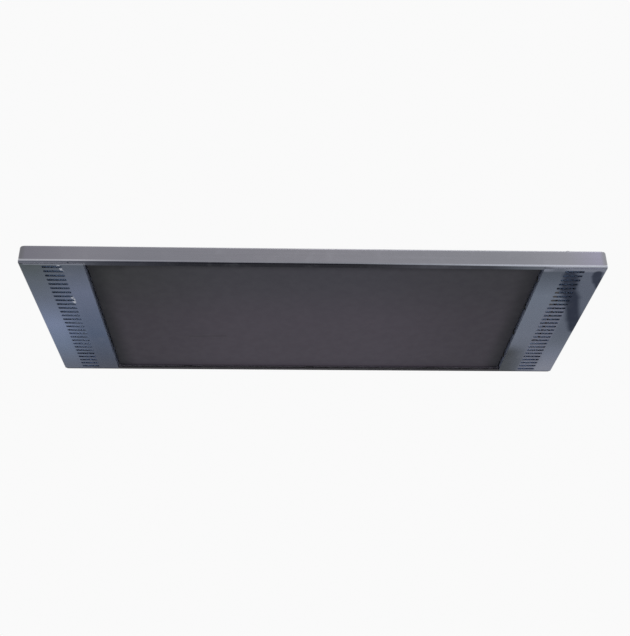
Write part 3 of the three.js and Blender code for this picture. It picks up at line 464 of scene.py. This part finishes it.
def light_marks(sh):
    """Two small light marks on the left end plate, broken up by fine noise."""
    pale_marks = sh.strokes([
        ((-0.4335, -0.192), (-0.4300, -0.176), 0.0012, 0.0022),
        ((-0.4370, -0.190), (-0.4335, -0.192), 0.0006, 0.0018),
        ((-0.4310, -0.091), (-0.4290, -0.080), 0.0010, 0.0028),
        ((-0.4290, -0.080), (-0.4300, -0.068), 0.0014, 0.0028),
    ])
    return sh.multiply(pale_marks, sh.span(sh.noise(300.0, 3.0, 0.6), 0.38, 0.56))


# ---------- Other materials ----------


def coating():
    """Matt dark high-emissivity coating, sprayed on; painted light in its middle, painted shade near its rim."""
    sh = Shader("radiant_coating", roughness=0.62, Specular_IOR_Level=0.22)
    x, y, _ = sh.axes()
    # Painted light: the coating is lighter in its middle
    off_middle = sh.span(sh.size(sh.axes(sh.warped(3.0, 0.06))[0]), 0.10, 0.36)
    colour = sh.mix(off_middle, (0.0570, 0.0480, 0.0630), (0.0400, 0.0340, 0.0450))
    # Painted shade over the near half, darker towards both ends
    near = sh.ramp(sh.span(x, -0.4, 0.4, smooth=False), [
        (0.02, (0.0250, 0.0258, 0.0270)),
        (0.30, (0.0400, 0.0385, 0.0480)),
        (0.60, (0.0420, 0.0400, 0.0510)),
        (0.95, (0.0290, 0.0275, 0.0340)),
    ])
    colour = sh.mix(sh.span(y, 0.02, -0.17), colour, near)
    # Painted shade along the rim: dark towards the ends and along the near edge
    from_ends = sh.span(sh.size(x), OPENING, 0.346, 0.06, 1.0)
    from_front = sh.span(y, -0.192, -0.172, 0.36, 1.0)
    colour = sh.mix(sh.multiply(from_ends, from_front), (0.003, 0.004, 0.007), colour)
    # Painted shadows along the near edge at the left end and along the right end
    colour = sh.patched(colour, [
        ((-OPENING, -0.190), (-0.335, -0.190), 0.006, 0.020, 0.55, (0.004, 0.005, 0.008)),
        ((OPENING, -0.180), (OPENING, 0.170), 0.008, 0.024, 0.40, (0.010, 0.010, 0.015)),
        ((OPENING, -0.190), (OPENING, 0.170), 0.007, 0.009, 0.50, (0.006, 0.006, 0.012)),
    ])
    cloud = sh.noise(3.2, 2.0, 0.45, sh.stretched((0.7, 1.0, 1.0), (0.4, 2.1, 0.0)))
    colour = sh.mix(sh.span(cloud, 0.3, 0.7, 0.0, 0.08), colour, (0.028, 0.024, 0.028))
    line = sh.stroke((-0.236, 0.066), (-0.166, 0.0645), 0.0004, 0.0035, sh.warped(30.0, 0.003))
    colour = sh.mix(sh.multiply(line, 0.35), colour, (0.020, 0.018, 0.021))
    speck = sh.noise(900.0, 2.0, 0.6)
    colour = sh.mix(sh.span(speck, 0.45, 0.8, 0.0, 0.10), colour, (0.070, 0.064, 0.074))
    sh.colour(colour)
    sh.roughness(sh.span(sh.noise(60.0, 4.0, 0.6), 0.3, 0.7, 0.60, 0.68))
    sh.bump(sh.noise(700.0, 3.0, 0.5), 0.00005, 0.2)
    return sh.material


def galvanised():
    """Spangled zinc, with a plain bluish tone on the faces that look towards the casing's middle."""
    sh = Shader("galvanised", metallic=0.35)
    cells = sh.node("ShaderNodeTexVoronoi", {"Vector": sh.place, "Scale": 140.0})
    flake = sh.axes(cells.outputs["Color"])[0]
    colour = sh.mix(flake, (0.24, 0.29, 0.38), (0.33, 0.39, 0.50))
    dust = sh.span(sh.noise(30.0, 4.0, 0.6), 0.4, 0.7, 0.0, 0.3)
    colour = sh.mix(dust, colour, (0.22, 0.22, 0.22))
    outward = sh.multiply(sh.facing()[0], sh.sign(sh.axes()[0]))
    sh.colour(sh.mix(sh.span(outward, -0.6, -0.9), colour, (0.220, 0.250, 0.340)))
    sh.roughness(sh.span(flake, 0.0, 1.0, 0.38, 0.55))
    sh.bump(sh.noise(220.0, 3.0, 0.5), 0.0001, 0.3)
    return sh.material


def metal(name, dark, light, scale, low, high):
    """Plain metal with a fine grain; low and high are its roughness."""
    sh = Shader(name, metallic=0.95)
    grain = sh.noise(scale, 4.0, 0.6)
    sh.colour(sh.mix(sh.span(grain, 0.3, 0.7), dark, light))
    sh.roughness(sh.span(sh.noise(scale * 2.6, 3.0, 0.6), 0.3, 0.7, low, high))
    sh.bump(sh.noise(scale * 9, 2.0, 0.5), 0.00003, 0.5)
    return sh.material


def moulded(name, dark, light, scale, low, high, depth):
    """Moulded or fired material; depth is that of the pits in its skin."""
    sh = Shader(name)
    patch = sh.noise(scale, 3.0, 0.6)
    sh.colour(sh.mix(sh.span(patch, 0.3, 0.7), dark, light))
    sh.roughness(sh.span(sh.noise(scale * 3, 3.0, 0.6), 0.3, 0.7, low, high))
    sh.bump(sh.noise(scale * 22, 3.0, 0.6), depth, 0.6)
    return sh.material


def sleeve(name, colour, second=None):
    """Woven heat-proof sleeve over a wire, with an optional second stripe."""
    threads, stripes = 6200.0, 900.0
    sh = Shader(name, roughness=0.7)
    x, y, z = sh.axes()
    rise = sh.multiply(z, 0.8)
    turn = sh.add(sh.add(x, y), rise)
    other = sh.subtract(sh.subtract(x, y), rise)
    weave = sh.multiply(
        sh.sine(sh.multiply(turn, threads)),
        sh.sine(sh.multiply(other, threads)),
    )
    woven = sh.mix(sh.span(weave, -0.6, 0.6), tuple(c * 0.7 for c in colour), colour)
    if second:
        stripe = sh.span(sh.sine(sh.multiply(turn, stripes)), -0.1, 0.1)
        woven = sh.mix(stripe, woven, second)
    sh.colour(woven)
    sh.bump(weave, 0.0001, 0.6)
    return sh.material


def fibre():
    """The insulation blanket's loose strands."""
    sh = Shader("fibre", roughness=0.95)
    strands = sh.noise(260.0, 6.0, 0.75, sh.stretched((0.35, 1.0, 1.0)))
    sh.colour(sh.mix(sh.span(strands, 0.35, 0.65), (0.62, 0.60, 0.54), (0.86, 0.84, 0.78)))
    sh.bump(strands, 0.0006, 0.7)
    return sh.material


# Darker and lighter tone, scale of the grain, lowest and highest roughness
METALS = {
    "blued_steel": ((0.055, 0.054, 0.062), (0.095, 0.092, 0.105), 60.0, 0.45, 0.60),
    "element_sheath": ((0.030, 0.033, 0.036), (0.060, 0.062, 0.066), 90.0, 0.45, 0.65),
    "foil": ((0.62, 0.63, 0.64), (0.80, 0.81, 0.82), 60.0, 0.16, 0.30),
    "brass": ((0.30, 0.22, 0.11), (0.40, 0.31, 0.16), 120.0, 0.35, 0.50),
    "zinc_steel": ((0.44, 0.45, 0.47), (0.58, 0.59, 0.61), 110.0, 0.24, 0.40),
}

# The same, and the depth of the pits
MOULDED = {
    "ceramic": ((0.014, 0.011, 0.010), (0.026, 0.020, 0.018), 60.0, 0.30, 0.45, 0.00004),
    "black_nylon": ((0.010, 0.010, 0.012), (0.020, 0.020, 0.023), 45.0, 0.40, 0.55, 0.00005),
    "rubber": ((0.012, 0.012, 0.012), (0.022, 0.021, 0.020), 70.0, 0.70, 0.90, 0.0001),
    "bakelite": ((0.016, 0.013, 0.012), (0.030, 0.023, 0.020), 50.0, 0.35, 0.50, 0.00005),
}

# The colour and, where there is one, the stripe's
SLEEVES = {
    "brown_sleeve": ((0.045, 0.026, 0.017),),
    "blue_sleeve": ((0.035, 0.07, 0.16),),
    "green_yellow_sleeve": ((0.05, 0.14, 0.035), (0.34, 0.30, 0.05)),
}

FINISHES = {
    "rail": stainless("stainless_rail", (5, 260, 260), rail_paint),
    "plate": stainless("stainless_plate", (260, 5, 260), plate_paint),
    "cover": stainless("stainless_cover", (5, 260, 260), cover_paint),
    "radiant_coating": coating(),
    "galvanised": galvanised(),
    "fibre": fibre(),
}
for make, table in ((metal, METALS), (moulded, MOULDED), (sleeve, SLEEVES)):
    for name, values in table.items():
        FINISHES[name] = make(name, *values)

# The stainless sheets, which share one material slot in the record
SHEETS = {
    "front_rail": "rail",
    "rear_rail": "rail",
    "left_end_plate": "plate",
    "right_end_plate": "plate",
    "back_cover": "cover",
}


def shade_smooth(mesh):
    """Smooth shading, with edges kept where the faces turn by more than SHARP_ANGLE."""
    mesh.polygons.foreach_set("use_smooth", [True] * len(mesh.polygons))
    mesh.set_sharp_from_angle(angle=SHARP_ANGLE)


for part in frame["record"]["subparts"]:
    node = nodes[part["node"]]
    finish = SHEETS.get(part["node"], part["material_slot"])
    node.data.materials.clear()
    node.data.materials.append(FINISHES[finish])
    shade_smooth(node.data)
    weighted = node.modifiers.new("weighted", "WEIGHTED_NORMAL")
    weighted.keep_sharp = True

# ---------- Building meshes, in millimetres ----------

ON_AXIS = 0.001  # The radius of a turned body's end on its axis, small enough to look closed


def add_object(name, data):
    made = bpy.data.objects.new(name, data)
    bpy.context.scene.collection.objects.link(made)
    return made


def piece(name, parts, finish, node, body, place, weld=False):
    """One object from (points, faces) parts in millimetres, standing for a CAD node."""
    mesh = bpy.data.meshes.new(name)
    points, faces = [], []
    for part_points, part_faces in parts:
        faces += [[i + len(points) for i in face] for face in part_faces]
        points += [Vector(p) * MM for p in part_points]
    mesh.from_pydata(points, [], faces)
    mesh.transform(place)
    bm = bmesh.new()
    bm.from_mesh(mesh)
    if weld:
        bmesh.ops.remove_doubles(bm, verts=bm.verts, dist=WELD)
    bmesh.ops.recalc_face_normals(bm, faces=bm.faces)
    bm.to_mesh(mesh)
    bm.free()
    shade_smooth(mesh)
    mesh.materials.append(FINISHES[finish])
    made = add_object(name, mesh)
    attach(made, body)
    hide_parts(node)


def turns(count):
    """Angles spread evenly over a full turn."""
    return [2 * math.pi * step / count for step in range(count)]


def bands(rows, count, closed=False):
    """Faces between rows of count points each, and from the last row to the first if closed."""
    faces = []
    total = rows * count
    for row in range(rows if closed else rows - 1):
        for step in range(count):
            a, b = row * count + step, row * count + (step + 1) % count
            faces.append((a, b, (b + count) % total, (a + count) % total))
    return faces


def lathe(outline, sides=48, wobble=None):
    """A body turned about Z from (radius, height) points.

    The outline ends where it starts, or both its ends lie on the axis. wobble gives, from a
    point's angle and ring, the share that it keeps of its radius."""
    points = []
    for ring, (radius, height) in enumerate(outline):
        for angle in turns(sides):
            r = radius * (wobble(angle, ring) if wobble else 1)
            points.append((r * math.cos(angle), r * math.sin(angle), height))
    return points, bands(len(outline), sides)


def grooves(count, depth, sharpness, rings):
    """A wobble for lathe: grooves over some of its rings, depth of the radius deep."""

    def wobble(angle, ring):
        if ring not in rings:
            return 1
        return 1 - depth * (0.5 + 0.5 * math.cos(count * angle)) ** sharpness

    return wobble


def quarter(x0, y0, x1, y1, steps):
    """Points of a quarter ellipse that leaves (x0, y0) along Y and reaches (x1, y1) along X."""
    angles = [math.pi / 2 * i / steps for i in range(1, steps + 1)]
    return [(x1 + (x0 - x1) * math.cos(t), y0 + (y1 - y0) * math.sin(t)) for t in angles]


def arc(x, y, radius, start, end, steps=12):
    """Points of an arc about (x, y), from one angle in degrees to another."""
    angles = [math.radians(start + (end - start) * i / steps) for i in range(steps + 1)]
    return [(x + radius * math.cos(t), y + radius * math.sin(t)) for t in angles]


def swept_wire(path, radius):
    """A round wire along an open path in the XY plane, with eased ends."""
    sides = 20
    way = [Vector((x, y, 0)) for x, y in path]
    ease = 0.15 * radius
    stations = []
    for i, at in enumerate(way):
        along = (way[min(i + 1, len(way) - 1)] - way[max(i - 1, 0)]).normalized()
        stations.append((at, along, radius))
    first, last = stations[0], stations[-1]
    stations[0] = (first[0] + first[1] * ease, first[1], radius)
    stations[-1] = (last[0] - last[1] * ease, last[1], radius)
    stations.insert(0, (first[0], first[1], radius - ease))
    stations.append((last[0], last[1], radius - ease))
    points = []
    for at, along, r in stations:
        across = Vector((-along.y, along.x, 0))
        for turn in turns(sides):
            up = Vector((0, 0, r * math.sin(turn)))
            points.append(at + across * (r * math.cos(turn)) + up)
    faces = bands(len(stations), sides)
    faces.append(tuple(range(sides)))
    faces.append(tuple(range(len(points) - sides, len(points))))
    return points, faces


def hexagon(across, low, high, chamfer, bore):
    """A bored hexagon with its corners turned down at the top."""
    angles = turns(72)
    flat = across / 2
    corner = flat / math.cos(math.pi / 6)

    def reach(angle):
        return flat / math.cos((angle + math.pi / 6) % (math.pi / 3) - math.pi / 6)

    def drop(angle):
        """How far the chamfer runs down, which is furthest at the corners."""
        return chamfer * (reach(angle) - flat) / (corner - flat) * 0.6

    rows = [
        [(reach(a), low) for a in angles],
        [(reach(a), high - chamfer - drop(a)) for a in angles],
        [(min(reach(a), corner - 1.4 * chamfer), high) for a in angles],
        [(bore / 2, high)] * len(angles),
        [(bore / 2, low)] * len(angles),
    ]
    points = []
    for row in rows:
        points += [(r * math.cos(a), r * math.sin(a), z) for a, (r, z) in zip(angles, row)]
    return points, bands(len(rows), len(angles), closed=True)


def threaded(inner, outer, low, high):
    """A tube between two radii whose outside carries thread ridges."""
    pitch = 1.5
    root, crest = outer - 0.7, outer - 0.05
    outline = [(inner, low), (root, low)]
    z = low + 0.6
    while z + pitch < high - 0.3:
        outline += [(root, z), (crest, z + 0.45 * pitch), (crest, z + 0.6 * pitch)]
        z += pitch
    outline += [(root, high - 0.2), (inner + 0.5, high), (inner, high - 0.4), (inner, low)]
    return lathe(outline)


# ---------- Detailed pieces on the back ----------


def add_ring(corner, place):
    """A round wire bent into a D, its two ends meeting in the middle of the straight bar."""
    gap, half_bar, bar, bend, side = 0.4, 8, 17, 6, 17
    path = [(0, gap), (0, half_bar), (0, bar)]
    path += arc(bend, bar, bend, 180, 90)[1:]
    path += arc(side, 0, bar + bend, 90, -90, 40)
    path += arc(bend, -bar, bend, 270, 180)
    path += [(0, -half_bar), (0, -gap)]
    ring = swept_wire(path, radius=3)
    piece(f"{corner}_round_ring", [ring], "zinc_steel", f"{corner}_ring", f"{corner}_hanger", place)


def strip_outline():
    """The saddle's section in X and Z about the hinge: two feet and a round hump."""
    half, inside, sheet, foot = 18, 3.5, 1.5, -3.3
    outside, bend, fold = inside + sheet, 0.9, 0.8
    over = arc(0, 0, outside, 180, 0, 20)
    under = arc(0, 0, inside, 0, 180, 20)
    left = [(-half, foot), (-half, foot + sheet), (-outside - bend, foot + sheet)]
    left += quarter(-outside - bend, foot + sheet, -outside, foot + sheet + bend, 5)
    right = [(-x, z) for x, z in reversed(left)]
    right += [(inside + fold, foot), (inside, foot + fold)]
    return left + over + right + under + [(-inside, foot + fold), (-inside - fold, foot)]


def add_saddle(corner, place):
    """The bent strip with eased edges, and its two domed rivets."""
    outline = strip_outline()
    count = len(outline)
    half, ease = 11.0, 0.35
    normals = []
    for i in range(count):
        before, after = Vector(outline[i - 1]), Vector(outline[(i + 1) % count])
        way = (after - before).normalized()
        normals.append(Vector((way.y, -way.x)))
    rows = [(-half, ease), (-half + ease, 0.0), (half - ease, 0.0), (half, ease)]
    points = []
    for y, inset in rows:
        for (x, z), normal in zip(outline, normals):
            shift = normal * inset
            points.append((x + shift.x, y, z + shift.y))
    faces = bands(len(rows), count)
    faces.append(tuple(range(count)))
    faces.append(tuple(range(len(points) - count, len(points))))
    parts = [(points, faces)]
    rivet = [(ON_AXIS, -2.4), (3.5, -2.4), (3.5, -1.65)]
    rivet += quarter(3.5, -1.65, ON_AXIS, -0.4, 8)
    rivet_points, rivet_faces = lathe(rivet, 32)
    for x in (-11.5, 11.5):
        parts.append(([(px + x, py, pz) for px, py, pz in rivet_points], rivet_faces))
    piece(f"{corner}_pressed_saddle", parts, "zinc_steel", f"{corner}_saddle", "casing", place)


def add_gland():
    """The cable gland's body, dome nut and seal, each with its ridges."""
    x, y, _ = middle("gland_body")
    place = Matrix.Translation((x, y, COVER_TOP))
    tube = threaded(inner=5, outer=8, low=-9, high=13)
    collar = hexagon(across=20, low=0.3, high=6, chamfer=1.2, bore=15.4)
    parts = [tube, collar]
    piece("threaded_gland_body", parts, "black_nylon", "gland_body", "casing", place)

    nut = [(8.3, 6.3), (9.6, 6.3), (10.0, 6.9), (10.0, 9.0), (10.0, 12.0), (10.0, 14.8)]
    nut += quarter(10.0, 14.8, 6.25, 21.3, 10)
    nut += [(5.6, 21.3), (5.25, 20.9), (5.25, 19.3), (8.3, 19.3), (8.3, 6.3)]
    parts = [lathe(nut, 144, grooves(18, 0.035, 2, range(2, 10)))]
    piece("ribbed_dome_nut", parts, "black_nylon", "gland_dome_nut", "casing", place)

    seal = [(8.0, 13.3), (8.0, 19.0), (5.1, 19.0), (4.5, 18.7)]
    seal += [(4.0, 17.9), (4.0, 13.3), (8.0, 13.3)]
    parts = [lathe(seal, 96, grooves(12, 0.05, 6, (3, 4)))]
    piece("ribbed_gland_seal", parts, "rubber", "gland_seal", "casing", place)


def add_screw(index):
    """A pan head with a cross recess; the shank goes down through the cover."""
    radius, edge, top = 4.0, 0.5, 1.4
    shank, length, taper, tip = 2.0, 7.0, 0.6, 1.2
    arm, half_arm, blade = 2.2, 1.4, 0.55
    middle_floor, arm_rise = 0.55, 0.25
    steps = [-arm, -half_arm, -blade, 0.0, blade, half_arm, arm]
    cells = range(len(steps) - 1)
    blade_cells = (2, 3)
    points, faces = [], []

    def crown(px, py):
        """Height of the head's domed top."""
        return edge + (top - edge) * math.sqrt(max(0.0, 1 - (px * px + py * py) / radius ** 2))

    def recess(px, py):
        """Height of the recess's floor, deepest in the middle."""
        return middle_floor + arm_rise * max(abs(px), abs(py)) / arm

    def recessed(i, j):
        return i in cells and j in cells and (i in blade_cells or j in blade_cells)

    def quad(*corners):
        faces.append(tuple(range(len(points), len(points) + len(corners))))
        points.extend(corners)

    # The square in the head's middle, cell by cell, and the walls round its recess
    for i in cells:
        for j in cells:
            x0, x1, y0, y1 = steps[i], steps[i + 1], steps[j], steps[j + 1]
            corners = [(x0, y0), (x1, y0), (x1, y1), (x0, y1)]
            height = recess if recessed(i, j) else crown
            quad(*[(px, py, height(px, py)) for px, py in corners])
            beside = [(i, j - 1), (i + 1, j), (i, j + 1), (i - 1, j)]
            for k, neighbour in enumerate(beside):
                if recessed(i, j) and not recessed(*neighbour):
                    ends = [corners[k], corners[(k + 1) % 4]]
                    low = [(px, py, recess(px, py)) for px, py in ends]
                    high = [(px, py, crown(px, py)) for px, py in reversed(ends)]
                    quad(*low, *high)

    # From the square's rim out to the head's edge, then in below it and down the shank
    rim = [(px, -arm) for px in steps[:-1]] + [(arm, py) for py in steps[:-1]]
    rim += [(px, arm) for px in reversed(steps[1:])] + [(-arm, py) for py in reversed(steps[1:])]
    rows = []
    for share in [k / 8 for k in range(9)]:
        row = []
        for px, py in rim:
            from_axis = math.hypot(px, py)
            reach = from_axis + (radius - from_axis) * share
            qx, qy = px / from_axis * reach, py / from_axis * reach
            row.append((qx, qy, crown(qx, qy)))
        rows.append(row)
    around = [Vector(p).normalized() for p in rim]
    below = [(radius, 0.0), (shank, 0.0), (shank, taper - length), (tip, -length)]
    for r, z in [*below, (ON_AXIS, -length)]:
        rows.append([(way.x * r, way.y * r, z) for way in around])
    for row, after in zip(rows, rows[1:]):
        for k in range(len(rim)):
            m = (k + 1) % len(rim)
            quad(row[k], row[m], after[m], after[k])

    node = f"cover_screw_{index}"
    x, y, _ = middle(node)
    place = Matrix.Translation((x, y, COVER_TOP))
    name = f"cross_recess_screw_{index}"
    piece(name, [(points, faces)], "zinc_steel", node, "casing", place, weld=True)


for joint in frame["joints"]:
    corner = joint["child"].removesuffix("_hanger")
    # A ring lies inwards from its hinge, so those at the right end are turned round
    inwards = Matrix.Rotation(math.pi if joint["pos_m"][0] > 0 else 0.0, 4, "Z")
    hinge = Matrix.Translation(joint["pos_m"]) @ inwards
    add_ring(corner, hinge)
    add_saddle(corner, hinge)
add_gland()
for number in range(1, SCREWS + 1):
    add_screw(number)

# ---------- Stage and light ----------

FLOOR_Z = -2.2
FLOOR_REACH = 14.0
SKY_LIGHT = (0.96, 0.97, 1.0)
SKY_STRENGTH = 0.75
BACKDROP = (0.955, 0.955, 0.955)


def add_floor():
    reach = FLOOR_REACH
    corners = [(-reach, -reach), (reach, -reach), (reach, reach), (-reach, reach)]
    mesh = bpy.data.meshes.new("floor")
    mesh.from_pydata([(x, y, FLOOR_Z) for x, y in corners], [], [(0, 1, 2, 3)])
    paint = Shader("floor_paint", roughness=0.9)
    paint.colour((0.90, 0.90, 0.90))
    mesh.materials.append(paint.material)
    floor = add_object("floor", mesh)


def add_sky():
    """A soft sky for the diffuse light; camera and reflections see a plain backdrop instead."""
    world = bpy.data.worlds.new("studio")
    world.use_nodes = True
    world.node_tree.nodes.clear()
    sky = Nodes(world.node_tree)
    path = sky.node("ShaderNodeLightPath").outputs
    seen = sky.largest(path["Is Camera Ray"], path["Is Glossy Ray"])
    seen = sky.largest(seen, path["Is Transmission Ray"])
    inputs = {"Color": SKY_LIGHT, "Strength": SKY_STRENGTH}
    light = sky.node("ShaderNodeBackground", inputs).outputs[0]
    backdrop = sky.node("ShaderNodeBackground", {"Color": BACKDROP, "Strength": 1.0}).outputs[0]
    blend = sky.node("ShaderNodeMixShader", {0: seen, 1: light, 2: backdrop}).outputs[0]
    sky.node("ShaderNodeOutputWorld", {"Surface": blend})
    bpy.context.scene.world = world


def add_lamp(name, at, target, size, power):
    data = bpy.data.lights.new(name, "AREA")
    data.shape = "RECTANGLE"
    data.size, data.size_y = size
    data.energy = power
    lamp = add_object(name, data)
    lamp.location = at
    lamp.rotation_euler = (Vector(target) - Vector(at)).to_track_quat("-Z", "Y").to_euler()


add_floor()
add_sky()
add_lamp("key", at=(0.5, -1.0, 2.9), target=(0.0, 0, 0), size=(2.2, 2.2), power=34)
add_lamp("low", at=(0.4, -2.4, -1.7), target=(0.1, 0, 0), size=(2.4, 0.7), power=12)

# ---------- Camera ----------

FOCAL = 945.9  # Pixels
PICTURE_SIDE = 636  # Pixels, the picture's longer side
SENSOR = 36  # Millimetres


def add_camera(at, pitch, yaw, roll):
    """Turned up by pitch and to the right by yaw from looking along +Y, then rolled."""
    data = bpy.data.cameras.new("camera")
    data.sensor_width = SENSOR
    data.lens = FOCAL * SENSOR / PICTURE_SIDE
    camera = add_object("camera", data)
    to_right = Matrix.Rotation(-math.radians(yaw), 4, "Z")
    look = to_right @ Matrix.Rotation(math.radians(90 + pitch), 4, "X")
    rolled = Matrix.Rotation(math.radians(roll), 4, "Z")
    camera.matrix_world = Matrix.Translation(at) @ look @ rolled
    bpy.context.scene.camera = camera


add_camera(at=(-0.0462, -1.5527, -0.8567), pitch=29.171, yaw=1.893, roll=-0.451)
bpy.context.scene.view_settings.view_transform = "Standard"
